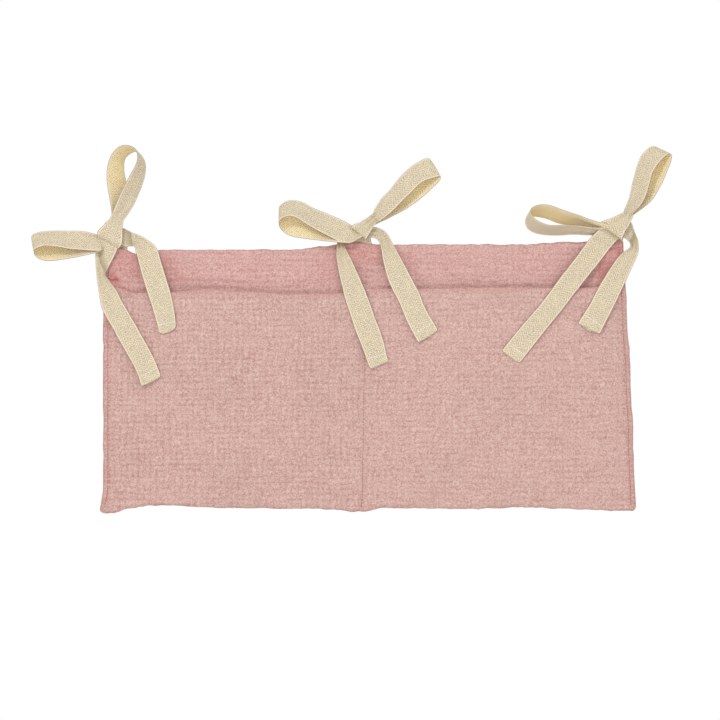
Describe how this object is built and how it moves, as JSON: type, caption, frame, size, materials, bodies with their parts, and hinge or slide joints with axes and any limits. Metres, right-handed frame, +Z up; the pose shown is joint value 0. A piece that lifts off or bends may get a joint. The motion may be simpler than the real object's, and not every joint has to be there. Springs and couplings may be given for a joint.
{
  "type": "hanging fabric caddy",
  "caption": "Wide caddy of crinkled cotton muslin with open pockets side by side, hung from a cot or bed rail by cotton tapes tied in bows.",
  "frame": {"origin": "at the back face, in the middle of the straight line along which the caddy hangs, level with the top edge", "axes": "+X along the top edge to the right as seen from the front, -Y out of the front where the pockets are, +Z up"},
  "size_m": [0.7131, 0.0329, 0.4095],
  "materials": {
    "muslin": "crinkled matte muslin",
    "lining_muslin": "crinkled matte muslin",
    "tape": "herringbone cotton twill",
    "seam_thread": "matte sewing thread",
    "tape_thread": "matte sewing thread"
  },
  "bodies": {
    "caddy": {"back_panel": "muslin", "back_lining": "lining_muslin", "pocket_panel": "muslin", "left_side_stitching": "seam_thread", "right_side_stitching": "seam_thread", "divider_stitching": "seam_thread", "left_bow_tie_root": "tape", "left_bow_knot": "tape", "left_bow_left_loop": "tape", "left_bow_right_loop": "tape", "middle_bow_tie_root": "tape", "middle_bow_knot": "tape", "middle_bow_left_loop": "tape", "middle_bow_right_loop": "tape", "right_bow_tie_root": "tape", "right_bow_knot": "tape", "right_bow_left_loop": "tape", "right_bow_right_loop": "tape"},
    "left_bow_left_tail": {"left_bow_left_tail": "tape", "left_bow_left_tail_stitching": "tape_thread"},
    "left_bow_right_tail": {"left_bow_right_tail": "tape", "left_bow_right_tail_stitching": "tape_thread"},
    "middle_bow_left_tail": {"middle_bow_left_tail": "tape", "middle_bow_left_tail_stitching": "tape_thread"},
    "middle_bow_right_tail": {"middle_bow_right_tail": "tape", "middle_bow_right_tail_stitching": "tape_thread"},
    "right_bow_left_tail": {"right_bow_left_tail": "tape", "right_bow_left_tail_stitching": "tape_thread"},
    "right_bow_right_tail": {"right_bow_right_tail": "tape", "right_bow_right_tail_stitching": "tape_thread"}
  },
  "joints": [
    {"name": "left_bow_left_tail_swing", "type": "hinge", "parent": "caddy", "child": "left_bow_left_tail", "pos_m": [-0.29494, -0.0084, -0.02671], "axis": [-0.9063, 0, -0.4226], "range_deg": [0, 100]},
    {"name": "left_bow_right_tail_swing", "type": "hinge", "parent": "caddy", "child": "left_bow_right_tail", "pos_m": [-0.24251, -0.0084, -0.00294], "axis": [-0.9715, 0, -0.2368], "range_deg": [0, 100]},
    {"name": "middle_bow_left_tail_swing", "type": "hinge", "parent": "caddy", "child": "middle_bow_left_tail", "pos_m": [-0.02624, -0.0084, -0.00245], "axis": [-0.9532, 0, -0.3024], "range_deg": [0, 100]},
    {"name": "middle_bow_right_tail_swing", "type": "hinge", "parent": "caddy", "child": "middle_bow_right_tail", "pos_m": [0.02326, -0.0084, 0.00269], "axis": [-0.9092, 0, -0.4163], "range_deg": [0, 100]},
    {"name": "right_bow_left_tail_swing", "type": "hinge", "parent": "caddy", "child": "right_bow_left_tail", "pos_m": [0.25891, -0.0084, 0.00392], "axis": [-0.7891, 0, 0.6143], "range_deg": [0, 100]},
    {"name": "right_bow_right_tail_swing", "type": "hinge", "parent": "caddy", "child": "right_bow_right_tail", "pos_m": [0.29346, -0.0084, -0.00466], "axis": [-0.8788, 0, 0.4772], "range_deg": [0, 100]}
  ]
}
